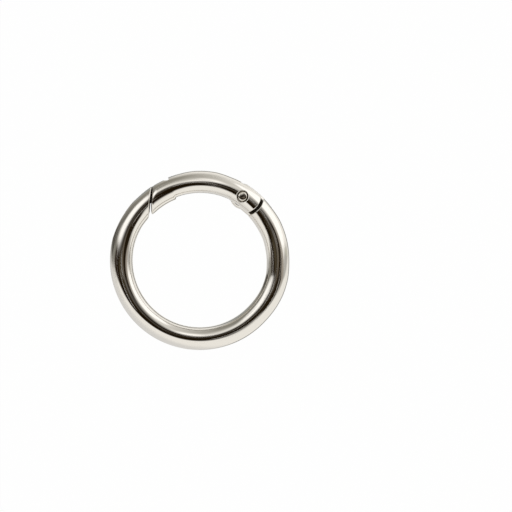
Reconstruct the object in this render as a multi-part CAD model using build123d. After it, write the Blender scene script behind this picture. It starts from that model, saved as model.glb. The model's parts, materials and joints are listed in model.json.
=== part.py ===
from build123d import *
import os
from math import atan2, cos, degrees, pi, radians, sin, sqrt

# Spring gate ring: a round-section ring with a hinged, sprung gate that swings inwards.
# Millimetres and degrees. The ring lies flat: its axis is Z and the eye's centre is the origin.
# A "ring angle" is measured about that axis, anticlockwise from +X as seen from above.

# ---- driving dimensions ----------------------------------------------------------------------
# the ring
eye_diameter = 25.0             # clear opening of the closed ring
wire_diameter = 4.3             # round section of the body and the gate
hinge_rim_bevel = 0.15          # broken rims at both sides of the hinge gap
latch_rim_rounding = 0.25       # rounded rim of the body's end face at the latch
nose_rim_bevel = 0.12           # broken rim of the gate's nose

# the hinge
hinge_angle = 56.0              # ring angle of the rivet
hinge_inset = 0.25              # the rivet's axis lies this far inside the middle of the wire
hinge_slot_width = 2.1          # between the two cheeks of the gate's fork
knuckle_side_clearance = 0.17   # knuckle to cheek, each side
knuckle_sink = 0.05             # knuckle below the outside of the wire
knuckle_root_gap = 0.45         # knuckle to the root of the fork
knuckle_flat_angle = 6.0        # ring angle from the rivet to the flat that the spring bears on
knuckle_rim_sink = 0.10         # knuckle's rounded outer rim below the outside of the wire
knuckle_rim_bevel = 0.60        # broken edges of the knuckle and its neck
neck_inset = 0.10               # the neck stands this far into the eye where it stands out most
neck_inset_angle = 6.0          # ring angle from the rivet back to that place
neck_root_depth = 1.0           # neck buried in the body below the shoulder
heel_cover = 1.05               # metal of the fork past the knuckle
heel_gap = 0.45                 # gate's heel to the body's hollow shoulder

# the rivet
rivet_diameter = 1.5
rivet_running_clearance = 0.04  # radial, in the knuckle's bore
rivet_head_diameter = 1.74
rivet_head_rounding = 0.42      # rounded edge of the head's flat top
recess_diameter = 2.2
recess_depth = 0.62             # below the surface of the wire over the rivet
rivet_head_sink = 0.10          # head's top below the same surface

# the latch
nose_angle = 127.4              # ring angle of the gate's nose, on the middle of the wire
nose_lean = 4.2                 # its flat face leans so far outwards, towards the rivet
nose_gap = 0.49                 # nose to the body's end face, along the middle of the wire
end_face_lean = 7.4             # the end face leans further, so that the gap widens inwards
latch_slot_width = 1.9
latch_slot_depth = 2.45         # from the outside of the wire
latch_wall_angle = 110.5        # ring angle of the slot's end wall, on the outside of the wire
latch_side_clearance = 0.10     # tongue to slot, each side
latch_floor_clearance = 0.10    # tongue to the slot's floor
latch_tip_clearance = 0.15      # tongue to the slot's end wall
latch_root_depth = 1.5          # tongue buried in the body behind its end face
tongue_sink = 0.20              # tongue's rim below the outside of the wire
gate_droop = 0.08               # the closed gate's nose rests this far inside the body's curve

# the spring and its channel
spring_wire_diameter = 0.3
spring_wire_sides = 6           # flats that stand for the thin wire's round section
spring_outer_diameter = 1.6
spring_turns = 10
spring_end_turns = 1            # closed turns at each end
spring_closed_pitch = 0.34
spring_seat_clearance = 0.03    # at the knuckle's flat and at the channel's end
channel_diameter = 1.9
channel_mouth_width = 1.5       # narrower than the coil, which it keeps in
channel_inset = 1.0             # channel's middle inside the middle of the wire
channel_end_angle = 110.5       # ring angle of the channel's blind end

# ---- sizes worked out from them --------------------------------------------------------------
wire_radius = wire_diameter / 2
ring_radius = eye_diameter / 2 + wire_radius
outer_radius = ring_radius + wire_radius
hinge_radius = ring_radius - hinge_inset
hinge = Pos(hinge_radius * cos(radians(hinge_angle)), hinge_radius * sin(radians(hinge_angle)))

knuckle_radius = wire_radius + hinge_inset - knuckle_sink
heel_radius = knuckle_radius + heel_cover
shoulder_radius = heel_radius + heel_gap
fork_root_radius = knuckle_radius + knuckle_root_gap


def reach(radius, ring_angle):
    """Distance from the rivet to the point at a ring radius and a ring angle."""
    between = radians(ring_angle - hinge_angle)
    return sqrt(hinge_radius**2 + radius**2 - 2 * hinge_radius * radius * cos(between))


nose_reach = reach(ring_radius, nose_angle)
latch_wall_reach = reach(outer_radius, latch_wall_angle)
latch_floor_radius = outer_radius - latch_slot_depth
end_face_angle = nose_angle + degrees(nose_gap / ring_radius)
channel_radius = ring_radius - channel_inset
closed_angle = degrees(gate_droop / nose_reach)
through = 2 * wire_diameter     # deep enough to cut right through the wire


# ---- profiles in the plane of the ring -------------------------------------------------------
def beside(ring_angle, side):
    """Half-plane beside the radial line at a ring angle: side 1 lies anticlockwise of it, -1 clockwise."""
    size = 2 * outer_radius
    return Rot(0, 0, ring_angle) * Pos(0, side * size / 2) * Rectangle(2 * size, size)


def about_hinge(radius):
    """Disc about the rivet."""
    return hinge * Circle(radius)


def plate(profile, thickness):
    """Flat plate of a profile, with the ring's middle plane halfway through it."""
    return extrude(profile, amount=thickness / 2, both=True)


def beyond(ring_angle, lean):
    """All past a straight line across the wire, that leans from square to the direction of the rivet."""
    size = 2 * wire_diameter
    middle = Vector(ring_radius, 0, 0).rotate(Axis.Z, ring_angle)
    from_hinge = middle - hinge.position
    direction = degrees(atan2(from_hinge.Y, from_hinge.X)) - lean
    return Pos(middle) * Rot(0, 0, direction) * Pos(size / 2, 0) * Rectangle(size, 2 * size)


def gate_zone(heel, ring_angle, lean):
    """Where the gate is: a disc about the rivet, and all from the rivet to a line across the wire."""
    near = about_hinge(nose_reach + wire_radius)
    return about_hinge(heel) + ((beside(hinge_angle, 1) & near) - beyond(ring_angle, lean))


def rim(solid, kind):
    """Edges round the end faces of one kind: a cylinder at the heel or the shoulder, a plane at the latch."""
    return [edge for face in solid.faces().filter_by(kind) for edge in face.edges()]


# ---- ring body -------------------------------------------------------------------------------
def tongue_envelope(sink):
    """Solid whose rim is rounded as the wire is, that far below the outside of the wire."""
    return Torus(ring_radius, wire_radius - sink) + Cylinder(ring_radius, wire_diameter)


def knuckle():
    """Flat round plate about the rivet on a neck, with a flat for the spring."""
    thickness = hinge_slot_width - 2 * knuckle_side_clearance
    neck_half_length = shoulder_radius + neck_root_depth
    neck_place = Rot(0, 0, hinge_angle - neck_inset_angle) * Pos(eye_diameter / 2 - neck_inset, 0)
    neck = neck_place * Rectangle(2 * wire_diameter, 2 * neck_half_length, align=(Align.MIN, Align.CENTER))
    blank = plate(about_hinge(knuckle_radius) + (neck & beside(hinge_angle, -1)), thickness)
    blank = chamfer(blank.faces().filter_by(Axis.Z).edges(), knuckle_rim_bevel)
    flat = beside(hinge_angle + knuckle_flat_angle, -1)
    bore = about_hinge(rivet_diameter / 2 + rivet_running_clearance)
    return blank & plate(flat - bore, through) & tongue_envelope(knuckle_rim_sink)


def latch_tongue():
    """Curved flat plate that stands out of the body's end face into the gate's nose."""
    thickness = latch_slot_width - 2 * latch_side_clearance
    root_angle = end_face_angle + degrees(latch_root_depth / ring_radius)
    length = beside(hinge_angle, 1) & beside(root_angle, -1)
    tip = about_hinge(latch_wall_reach + latch_tip_clearance)
    underside = Circle(latch_floor_radius + latch_floor_clearance)
    blank = plate((length & Circle(outer_radius)) - underside - tip, thickness)
    return blank & tongue_envelope(tongue_sink)


def ring_body():
    """Cast C with a hollow shoulder and a rounded end face, and the tongue that stands out of each."""
    opening = plate(gate_zone(shoulder_radius, end_face_angle, end_face_lean), through)
    body = Torus(ring_radius, wire_radius) - opening
    body = chamfer(rim(body, GeomType.CYLINDER), hinge_rim_bevel)
    body = fillet(rim(body, GeomType.PLANE), latch_rim_rounding)
    return body + knuckle() + latch_tongue()


# ---- gate ------------------------------------------------------------------------------------
def spring_channel():
    """Curved round channel from the fork to its blind end, open along a narrower mouth to the eye."""
    stretch = beside(hinge_angle, 1) & beside(channel_end_angle, -1)
    bore = Torus(channel_radius, channel_diameter / 2) & plate(stretch, through)
    mouth = plate(stretch & Circle(channel_radius), channel_mouth_width)
    return bore + mouth


def fork_slot():
    """Slot that the knuckle and its neck turn in."""
    return plate(about_hinge(fork_root_radius) + beside(hinge_angle, -1), hinge_slot_width)


def latch_slot():
    """Slot in the outside of the nose that takes the body's tongue."""
    nose = beside(hinge_angle, 1) - about_hinge(latch_wall_reach) - Circle(latch_floor_radius)
    return plate(nose, latch_slot_width)


def rivet_levels():
    """Heights above the ring's middle plane: floor of the recess, and top of the rivet's head."""
    surface = sqrt(wire_radius**2 - hinge_inset**2)
    return surface - recess_depth, surface - rivet_head_sink


def rivet_recesses():
    """Round pockets in both faces of the fork, in which the rivet's ends are formed over."""
    floor, _ = rivet_levels()
    recess = hinge * Pos(0, 0, floor) * extrude(Circle(recess_diameter / 2), amount=wire_diameter)
    return recess + mirror(recess, about=Plane.XY)


def gate():
    """Cast quarter of the ring, with the fork, the spring's channel and the latch slot taken out of it."""
    blank = Torus(ring_radius, wire_radius) & plate(gate_zone(heel_radius, nose_angle, nose_lean), through)
    blank = chamfer(rim(blank, GeomType.CYLINDER), hinge_rim_bevel)
    blank = chamfer(rim(blank, GeomType.PLANE), nose_rim_bevel)
    rivet_hole = hinge * Cylinder(rivet_diameter / 2, through)
    return blank - fork_slot() - spring_channel() - latch_slot() - rivet_hole - rivet_recesses()


# ---- rivet -----------------------------------------------------------------------------------
def hinge_rivet():
    """Shank with a round-edged head at both ends, turned about its axis from one half of its outline."""
    floor, top = rivet_levels()
    shank_radius = rivet_diameter / 2
    head_radius = rivet_head_diameter / 2
    side = Polyline(
        (0, 0),
        (shank_radius, 0),
        (shank_radius, floor),
        (head_radius, floor),
        (head_radius, top - rivet_head_rounding),
    )
    edge = RadiusArc(side @ 1, (head_radius - rivet_head_rounding, top), -rivet_head_rounding)
    outline = Plane.XZ * make_face([side, edge, Polyline(edge @ 1, (0, top), side @ 0)])
    half = revolve(outline, Axis.Z)
    return hinge * (half + mirror(half, about=Plane.XY))


# ---- spring ----------------------------------------------------------------------------------
def spring_path():
    """Coil bent to the channel's curve: a half circle for each half turn, with closed turns at both ends."""
    coil_radius = (spring_outer_diameter - spring_wire_diameter) / 2
    seat = degrees((spring_wire_diameter / 2 + spring_seat_clearance) / channel_radius)
    first = hinge_angle + knuckle_flat_angle + seat
    last = channel_end_angle - seat
    closed_pitch = degrees(spring_closed_pitch / channel_radius)
    closed_turns = 2 * spring_end_turns
    open_pitch = (last - first - closed_turns * closed_pitch) / (spring_turns - closed_turns)

    def crossing(turn, side):
        """Where the wire crosses the ring's middle plane, on the coil's outer side (1) or inner side (-1)."""
        closed = min(turn, spring_end_turns) + max(turn - spring_turns + spring_end_turns, 0)
        around = radians(first + closed * closed_pitch + (turn - closed) * open_pitch)
        radius = channel_radius + side * coil_radius
        return Vector(radius * cos(around), radius * sin(around))

    halves = []
    for half in range(2 * spring_turns):
        side = 1 if half % 2 == 0 else -1
        start = crossing(half / 2, side)
        end = crossing((half + 1) / 2, -side)
        top = (start + end) / 2 + Vector(0, 0, side * (end - start).length / 2)
        halves.append(ThreePointArc(start, top, end))
    return Wire([half.edge() for half in halves])


def gate_spring():
    """Wire wound along the path, with flats that give it the round wire's section area."""
    path = spring_path()
    half_side_angle = pi / spring_wire_sides
    area_of_unit_polygon = spring_wire_sides * sin(half_side_angle) * cos(half_side_angle)
    corner_radius = spring_wire_diameter / 2 * sqrt(pi / area_of_unit_polygon)
    section = Plane(path @ 0, z_dir=path % 0) * RegularPolygon(corner_radius, spring_wire_sides)
    return sweep(section, path)


# ---- the parts in place ----------------------------------------------------------------------
def closed(solid):
    """Turn a piece of the gate about the rivet to where the latch tongue stops it."""
    return hinge * Rot(0, 0, closed_angle) * hinge.inverse() * solid


os.makedirs("parts", exist_ok=True)
export_step(ring_body(), "parts/ring_body.step")
export_step(closed(gate()), "parts/gate.step")
export_step(closed(hinge_rivet()), "parts/hinge_rivet.step")
export_step(closed(gate_spring()), "parts/gate_spring.step")
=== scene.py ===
# %% [markdown]
# # A spring gate ring
#
# A spring gate ring is a round metal ring with a quarter of it hinged: the gate. Push the gate
# inwards and a strap or a key goes in; let go and a small coil spring shuts it. The ring and the
# gate are die cast, polished and plated with bright nickel, so nearly all that the eye sees is
# the room mirrored in a round wire. The lesson is therefore about two things: clean curved
# surfaces that a mirror finish forgives nothing on, and a studio that is worth mirroring.
#
# The measured solids come first. They could be given a material and shown as they are, but they
# have few faces and sharp rims. So they stay as they are, and each piece made here takes the
# place of one.

# %% Load the measured model
import json
from math import acos, asin, atan2, cos, degrees, hypot, pi, radians, sin, sqrt

import bmesh
import bpy
import numpy as np
from mathutils import Matrix, Vector

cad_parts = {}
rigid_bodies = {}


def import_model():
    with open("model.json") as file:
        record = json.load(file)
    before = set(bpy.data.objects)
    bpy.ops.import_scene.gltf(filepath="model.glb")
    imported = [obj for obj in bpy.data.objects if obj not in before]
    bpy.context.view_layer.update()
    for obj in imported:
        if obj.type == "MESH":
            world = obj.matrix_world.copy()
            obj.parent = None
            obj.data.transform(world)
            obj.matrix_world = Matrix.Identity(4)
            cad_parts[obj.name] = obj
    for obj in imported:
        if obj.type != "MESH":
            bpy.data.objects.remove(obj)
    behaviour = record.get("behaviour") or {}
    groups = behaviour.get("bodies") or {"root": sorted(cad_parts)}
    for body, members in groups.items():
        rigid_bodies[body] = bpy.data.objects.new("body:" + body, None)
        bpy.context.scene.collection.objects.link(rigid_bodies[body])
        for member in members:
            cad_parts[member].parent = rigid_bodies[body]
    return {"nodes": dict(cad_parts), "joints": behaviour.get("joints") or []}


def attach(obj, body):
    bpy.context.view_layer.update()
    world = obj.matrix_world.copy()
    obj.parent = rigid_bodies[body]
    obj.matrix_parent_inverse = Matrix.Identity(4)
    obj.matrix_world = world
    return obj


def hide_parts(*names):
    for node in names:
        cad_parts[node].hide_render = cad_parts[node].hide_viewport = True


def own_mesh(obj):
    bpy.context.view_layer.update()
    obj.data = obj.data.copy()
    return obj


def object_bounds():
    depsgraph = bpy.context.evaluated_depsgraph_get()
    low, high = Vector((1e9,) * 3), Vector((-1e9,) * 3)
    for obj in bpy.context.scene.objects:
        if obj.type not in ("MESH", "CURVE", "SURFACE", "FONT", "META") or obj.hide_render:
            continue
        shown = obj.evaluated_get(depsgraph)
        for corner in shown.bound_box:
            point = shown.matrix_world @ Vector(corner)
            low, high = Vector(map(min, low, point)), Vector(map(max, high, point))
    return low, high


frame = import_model()
cad_low, cad_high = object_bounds()
print("nodes:", sorted(frame["nodes"]))
print("CAD box in mm:", [round(1000 * (h - l), 2) for l, h in zip(cad_low, cad_high)])

# %% [markdown]
# ## The few sizes that everything follows
#
# The ring lies flat with its axis along Z. Its outside and its thickness are read from the
# model's box, and the hinge's axis from the joint, so the pieces made here can't drift away from
# the parts that they dress. Smaller sizes are written in millimetres.

# %% Sizes read from the model
mm = 0.001
wire_radius = (cad_high.z - cad_low.z) / 2
outer_radius = cad_high.x
ring_radius = outer_radius - wire_radius

hinge_joint = frame["joints"][0]
hinge_x, hinge_y, _ = hinge_joint["pos_m"]
hinge_distance = hypot(hinge_x, hinge_y)
hinge_angle = atan2(hinge_y, hinge_x)
print(f"wire {2000 * wire_radius:.2f} mm, eye {2000 * (ring_radius - wire_radius):.2f} mm,",
      f"hinge at {degrees(hinge_angle):.1f} degrees")

# %% [markdown]
# ## Colours and nodes
#
# Colours are written as they look on a screen, in hex, and Blender's nodes want them linear. One
# function does that. Another adds a node, gives it its settings and links it, and every tree in
# this lesson is built with it. A third starts an empty material.


# %% Three helpers for node trees
def linear(hex_colour):
    """Linear colour, with alpha, of a screen colour such as "#C8C4B8"."""
    channels = [int(hex_colour[i:i + 2], 16) / 255 for i in (1, 3, 5)]
    return [c / 12.92 if c <= 0.04045 else ((c + 0.055) / 1.055) ** 2.4 for c in channels] + [1.0]


def add_node(tree, kind, inputs=None, **settings):
    """Adds a node. An input is a value, the socket that feeds it, or a node whose first socket does."""
    node = tree.nodes.new(kind)
    for name, value in settings.items():
        setattr(node, name, value)
    for name, value in (inputs or {}).items():
        if isinstance(value, bpy.types.Node):
            value = value.outputs[0]
        if isinstance(value, bpy.types.NodeSocket):
            tree.links.new(value, node.inputs[name])
        else:
            node.inputs[name].default_value = value
    return node


def new_material(name):
    """Empty node material, and its tree."""
    material = bpy.data.materials.new(name)
    material.use_nodes = True
    material.node_tree.nodes.clear()
    return material, material.node_tree


print("the screen's middle grey is", round(linear("#808080")[0], 3), "in linear light")

# %% [markdown]
# ## The studio
#
# A small polished thing is best shown in a light tent: a dome of white cloth, lit from outside.
# The camera looks in through a dark slot at its top, and two lamps make bright windows in the
# cloth. On a mirror finish this is the whole drawing: the slot becomes the dark band that runs
# round the wire, the windows become its white streaks.
#
# The tent could be lamps and cards, but their soft edges would need many lamps. Here it is one
# dome with a glowing material that only reflections see, and an even white world does the plain
# lighting of the table. The ring is held high above the table, on a stand that doesn't show, so
# that the low sides of the wire mirror cloth too. A place in the cloth is given as two angles in
# degrees: how far it lies from overhead towards +X, and how far towards +Y.

# %% What is seen in the tent's cloth
tent_radius = 120 * mm
ring_above_table = 104 * mm
cloth = "#FDFDFC"
hem = "#969693"                     # the cloth gets less light near the table
hem_starts, hem_full = 122, 134     # degrees from overhead

# Each patch has a name, a middle, half its width and height, a turn, how soft its edge is, a
# colour and how brightly it glows. A later patch lies over an earlier one.
patches = [
    ("dim cloth on the left", (-104, 30), (28, 34), 31, 0.45, "#585651", 1.0),
    ("dim cloth, upper left", (-63.6, 57.2), (41, 24.6), 4, 0.37, "#71706D", 1.0),
    ("dim cloth at the back", (-43.3, 73.6), (59, 26.3), -13, 0.95, "#929089", 1.0),
    ("fold, low at the back left", (-72, 121.6), (47, 24.5), 39, 0.34, "#9DA1A2", 1.0),
    ("seam on the right", (74, -4), (40, 10), 25, 0.53, "#BDBDBB", 1.0),
    ("fold, low at the front left", (-67.6, -84), (36, 110), 50, 0.57, "#E4E5E7", 1.0),
    ("window on the right", (58.8, 43.2), (29.6, 32.8), 12, 0.12, "#FCFDFF", 1.31),
    ("window on the left", (-30, 9), (36, 17), -57, 0.30, "#FCFDFF", 1.27),
    ("gap over the slot", (-0.3, 12), (5, 24), -9, 0.80, "#FEFEFF", 1.46),
    ("slot, its long left end", (-30, -8.7), (52, 12.6), -16, 0.42, "#2A1E0E", 1.0),
    ("slot, middle", (-10, -11), (32, 13), -8, 0.27, "#1B1206", 1.0),
    ("slot, right end", (30, -6), (20, 18), -30, 0.18, "#241B0E", 1.0),
    ("lens in the slot", (1, 7), (29, 11), 20, 0.85, "#22190B", 1.0),
    ("slot's dim right side", (48, 2.5), (8, 23), 37, 0.55, "#A59F97", 1.0),
    ("glint beside the lens", (9, -0.5), (5, 2.5), 10, 0.7, "#6E6557", 1.0),
    ("grey edge inside the slot", (-18, -2), (12, 3), 8, 0.8, "#4E4636", 1.0),
    ("grey line on the left", (-82, 6.2), (16, 7.6), 25, 0.58, "#898881", 1.0),
    ("grey line on the right", (96.6, 8.8), (14, 4), -6, 0.53, "#CCCDC3", 1.0),
]
print(len(patches), "patches in the cloth")

# %% [markdown]
# ## The dome
#
# The dome is a sphere without its lowest part. It could be one of Blender's own spheres, cut
# open, but a dome built row by row from the top can hold more: each corner also gets a place on
# a flat map, its UV, and that place is the two angles. The patches are then drawn on a round map
# that has overhead in its middle.


# %% Dome
def placed(name, data):
    """Object that shows a mesh or a curve, or is a camera, in the scene."""
    made = bpy.data.objects.new(name, data)
    bpy.context.scene.collection.objects.link(made)
    return made


def dome_mesh(name, radius, rings, segments, lowest):
    """Sphere open at the bottom, with a UV map that holds the two angles in degrees."""
    points = [(0, 0, radius)]
    places = [(0, 0)]
    for i in range(1, rings + 1):
        fall = lowest * i / rings
        for j in range(segments):
            turn = 2 * pi * j / segments
            across = radius * sin(fall)
            points.append((across * cos(turn), across * sin(turn), radius * cos(fall)))
            places.append((degrees(fall) * cos(turn), degrees(fall) * sin(turn)))
    faces = [(0, 1 + (j + 1) % segments, 1 + j) for j in range(segments)]
    for i in range(rings - 1):
        for j in range(segments):
            a, b = 1 + i * segments + j, 1 + i * segments + (j + 1) % segments
            faces.append((a, b, b + segments, a + segments))
    mesh = bpy.data.meshes.new(name)
    mesh.from_pydata(points, [], faces)
    uv = mesh.uv_layers.new(name="angles")
    for loop in mesh.loops:
        uv.data[loop.index].uv = places[loop.vertex_index]
    return mesh


lowest_angle = acos(-ring_above_table / tent_radius)
tent = placed("light_tent", dome_mesh("light_tent", tent_radius, rings=64, segments=96, lowest=lowest_angle))
tent.visible_camera = False
tent.visible_diffuse = False
tent.visible_shadow = False
print("dome:", len(tent.data.polygons), f"faces, down to {degrees(lowest_angle):.0f} degrees from overhead")

# %% [markdown]
# ## Glowing cloth
#
# Cloth that is lit from behind looks the same from every side, so its material is plain
# emission. The patches lie over each other as Mix nodes, one for each line of the list. A patch
# is a rounded rectangle with a soft edge: where u and v go from -1 to 1 across it, the fourth
# root of u**4 + v**4 is 1 all along its edge. Sockets 6 and 7 of a Mix node are its two colours,
# and its third output is the mixed one.


# %% Tent cloth
def glowing_cloth():
    """Tent cloth that glows evenly, with a soft-edged patch for each thing seen in it."""
    material, tree = new_material("glowing_tent_cloth")
    place = add_node(tree, "ShaderNodeUVMap", uv_map="angles").outputs["UV"]
    fall = add_node(tree, "ShaderNodeVectorMath", {0: place}, operation="LENGTH")
    low = add_node(tree, "ShaderNodeMapRange", {
        "Value": fall.outputs["Value"],
        "From Min": hem_starts,
        "From Max": hem_full,
    }, interpolation_type="SMOOTHSTEP")
    plain = add_node(tree, "ShaderNodeMix", {
        "Factor": low.outputs["Result"],
        6: linear(cloth),
        7: linear(hem),
    }, data_type="RGBA")
    colour = plain.outputs[2]
    for label, centre, halves, turn, softness, shade, brightness in patches:
        local = add_node(tree, "ShaderNodeMapping", {
            "Vector": place,
            "Location": (*centre, 0),
            "Rotation": (0, 0, radians(turn)),
            "Scale": (*halves, 1),
        }, vector_type="TEXTURE", label=label)
        squares = add_node(tree, "ShaderNodeVectorMath", {
            0: local.outputs["Vector"],
            1: local.outputs["Vector"],
        }, operation="MULTIPLY")
        length = add_node(tree, "ShaderNodeVectorMath", {0: squares.outputs["Vector"]}, operation="LENGTH")
        out = add_node(tree, "ShaderNodeMath", {0: length.outputs["Value"], 1: 0.5}, operation="POWER")
        mask = add_node(tree, "ShaderNodeMapRange", {
            "Value": out,
            "From Min": 1 + softness,
            "From Max": 1 - softness,
        }, interpolation_type="SMOOTHSTEP")
        paint = [brightness * c for c in linear(shade)]
        mix = add_node(tree, "ShaderNodeMix", {
            "Factor": mask.outputs["Result"],
            6: colour,
            7: paint,
        }, data_type="RGBA")
        colour = mix.outputs[2]
    glow = add_node(tree, "ShaderNodeEmission", {"Color": colour})
    add_node(tree, "ShaderNodeOutputMaterial", {"Surface": glow.outputs["Emission"]})
    return material


tent.data.materials.append(glowing_cloth())
print("cloth:", len(tent.data.materials[0].node_tree.nodes), "nodes")

# %% [markdown]
# ## Table and world
#
# Far below the ring is a white table. If it were only lit, it would come out just under white
# and look grey beside a white page. So most of its brightness, as the camera or a reflection
# sees it, is a plain white glow. The small rest is lit, and keeps the ring's soft shadow.

# %% White table and even world
table_size = 1.2
table_share_of_glow = 0.9
white = (1, 1, 1, 1)


def white_table():
    """Matt white, topped up with a plain glow for the camera and for reflections."""
    material, tree = new_material("matt_white_table")
    ray = add_node(tree, "ShaderNodeLightPath")
    direct = add_node(tree, "ShaderNodeMath", {
        0: ray.outputs["Is Camera Ray"],
        1: ray.outputs["Is Glossy Ray"],
    }, operation="MAXIMUM")
    seen = add_node(tree, "ShaderNodeMath", {
        0: direct,
        1: ray.outputs["Is Transmission Ray"],
    }, operation="MAXIMUM")
    share = add_node(tree, "ShaderNodeMath", {0: seen, 1: table_share_of_glow}, operation="MULTIPLY")
    matt = add_node(tree, "ShaderNodeBsdfDiffuse", {"Color": linear("#F8F8F7")})
    glow = add_node(tree, "ShaderNodeEmission", {"Color": white, "Strength": 1.0})
    both = add_node(tree, "ShaderNodeMixShader", {0: share, 1: matt, 2: glow})
    add_node(tree, "ShaderNodeOutputMaterial", {"Surface": both})
    return material


half = table_size / 2
corners = [(x, y, -ring_above_table) for x, y in ((-half, -half), (half, -half), (half, half), (-half, half))]
table_mesh = bpy.data.meshes.new("table")
table_mesh.from_pydata(corners, [], [(0, 1, 2, 3)])
table_mesh.materials.append(white_table())
table = placed("table", table_mesh)

world = bpy.data.worlds.new("even_white")
world.use_nodes = True
world.node_tree.nodes.clear()
sky = add_node(world.node_tree, "ShaderNodeBackground", {"Color": white, "Strength": 1.0})
add_node(world.node_tree, "ShaderNodeOutputWorld", {"Surface": sky})
bpy.context.scene.world = world
print(f"table {table_size} m wide, {1000 * ring_above_table:.0f} mm below the ring")

# %% [markdown]
# ## The camera
#
# The camera looks straight down at the flat ring. A short lens close by would show the wall of
# the eye and thicken whatever is near. A long lens from far away keeps the ring a true circle.
# Its height follows from how wide the view is at the ring.

# %% Camera overhead
view_width = 95.79 * mm
ring_in_view = Vector((-10.54, -0.80)) * mm      # from the middle of the view to the ring's middle
camera_data = bpy.data.cameras.new("overhead_camera")
camera_data.lens = 200
camera_height = view_width * camera_data.lens / camera_data.sensor_width
camera = placed("overhead_camera", camera_data)
camera.location = (-ring_in_view.x, -ring_in_view.y, camera_height)
bpy.context.scene.camera = camera
bpy.context.scene.view_settings.view_transform = "Standard"
print(f"camera {1000 * camera_height:.0f} mm above the ring")

# %% [markdown]
# ## Bright nickel plate
#
# The castings are zinc, polished and plated with bright nickel: a mirror with a faint warm tint.
# A plain mirror material would look as if a computer drew it. The buffing wheel runs along the
# wire and leaves a very shallow ripple across it, which draws fine streaks in the reflections.
# The deepest streaks are hairlines, where the mirror turns to satin, and the whole plate has soft
# patches where it shines a little less. The wheel doesn't reach into slots and pockets: there the
# plate lies on rough casting, which is dull, and its colour is made dark as painted shade for the
# gaps. The noise is drawn on a map of the wire, round its section and along the ring, so the
# streaks follow the wire.

# %% Metal finishes
ripple_width = 0.22 * mm          # between two streaks left by the buffing wheel
ripple_stretch = 40               # a streak is this many times longer than wide
streaks_start = 97                # which streaks of the endless pattern fall on this ring
hairline_noise = (0.54, 0.72)     # where in the noise a streak starts to be, and is, a hairline
patch_width = 6 * mm              # between soft patches in the shine
shine_varies = (0.8, 1.3)         # the least and the most of the roughness, from patch to patch
# Past these depths into a gap the plate is rough, and its colour is darkened as painted shade.
wheel_and_shade_depth = 0.5 * mm            # the buffing wheel gets no deeper than this into a gap
buffed_unshaded_depth = 0.4 * wheel_and_shade_depth    # and polishes fully no deeper than this
casting_roughness = 0.4           # of plate over zinc as it was cast


def metal_finish(name, colour, roughness, ripple, hairline=0.0, rough_casting_shade_colour=None):
    """Bright metal with soft patches, and if asked a buffing ripple, hairlines, and rough casting whose dark
    colour is painted shade.
    """
    material, tree = new_material(name)
    place = add_node(tree, "ShaderNodeTexCoord").outputs["Object"]
    axes = add_node(tree, "ShaderNodeSeparateXYZ", {0: place}).outputs
    flat = add_node(tree, "ShaderNodeCombineXYZ", {"X": axes["X"], "Y": axes["Y"]})
    radius = add_node(tree, "ShaderNodeVectorMath", {0: flat}, operation="LENGTH").outputs["Value"]
    outward = add_node(tree, "ShaderNodeMath", {0: radius, 1: ring_radius}, operation="SUBTRACT")
    turn = add_node(tree, "ShaderNodeMath", {0: outward, 1: axes["Z"]}, operation="ARCTAN2")
    across = add_node(tree, "ShaderNodeMath", {
        0: turn,
        1: wire_radius / ripple_width,
        2: streaks_start,
    }, operation="MULTIPLY_ADD")
    around = add_node(tree, "ShaderNodeVectorMath", {
        0: flat,
        "Scale": 1 / (ripple_width * ripple_stretch),
    }, operation="SCALE")
    around_axes = add_node(tree, "ShaderNodeSeparateXYZ", {0: around}).outputs
    buffed = add_node(tree, "ShaderNodeCombineXYZ", {
        "X": around_axes["X"],
        "Y": around_axes["Y"],
        "Z": across,
    })
    streaks = add_node(tree, "ShaderNodeTexNoise", {
        "Vector": buffed,
        "Scale": 1.0,
        "Detail": 1.0,
    })
    bump = add_node(tree, "ShaderNodeBump", {
        "Strength": 1.0,
        "Distance": ripple,
        "Height": streaks.outputs["Fac"],
    })
    patches_of_shine = add_node(tree, "ShaderNodeTexNoise", {
        "Vector": place,
        "Scale": 1 / patch_width,
        "Detail": 3.0,
    })
    shine = add_node(tree, "ShaderNodeMapRange", {
        "Value": patches_of_shine.outputs["Fac"],
        "From Min": 0.3,
        "From Max": 0.7,
        "To Min": shine_varies[0] * roughness,
        "To Max": shine_varies[1] * roughness,
    })
    lines = add_node(tree, "ShaderNodeMapRange", {
        "Value": streaks.outputs["Fac"],
        "From Min": hairline_noise[0],
        "From Max": hairline_noise[1],
        "To Max": hairline,
    })
    rough = add_node(tree, "ShaderNodeMath", {0: shine, 1: lines}, operation="ADD")
    metal = add_node(tree, "ShaderNodeBsdfPrincipled", {
        "Base Color": linear(colour),
        "Metallic": 1.0,
        "Roughness": rough,
        "Normal": bump,
    })
    surface = metal
    if rough_casting_shade_colour:
        # Painted shade: deeper in the wire than the wheel reaches, the plate's colour is made dark.
        middle = add_node(tree, "ShaderNodeCombineXYZ", {"X": outward, "Y": axes["Z"]})
        away = add_node(tree, "ShaderNodeVectorMath", {0: middle}, operation="LENGTH")
        buffed_unshaded_share = add_node(tree, "ShaderNodeMapRange", {
            "Value": away.outputs["Value"],
            "From Min": wire_radius - wheel_and_shade_depth,
            "From Max": wire_radius - buffed_unshaded_depth,
        }, interpolation_type="SMOOTHSTEP")
        rough_painted_shade = add_node(tree, "ShaderNodeBsdfPrincipled", {
            "Base Color": linear(rough_casting_shade_colour),
            "Metallic": 1.0,
            "Roughness": casting_roughness,
        })
        both = add_node(tree, "ShaderNodeMixShader", {
            0: buffed_unshaded_share,
            1: rough_painted_shade,
            2: metal,
        })
        surface = both
    add_node(tree, "ShaderNodeOutputMaterial", {"Surface": surface})
    return material


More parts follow.
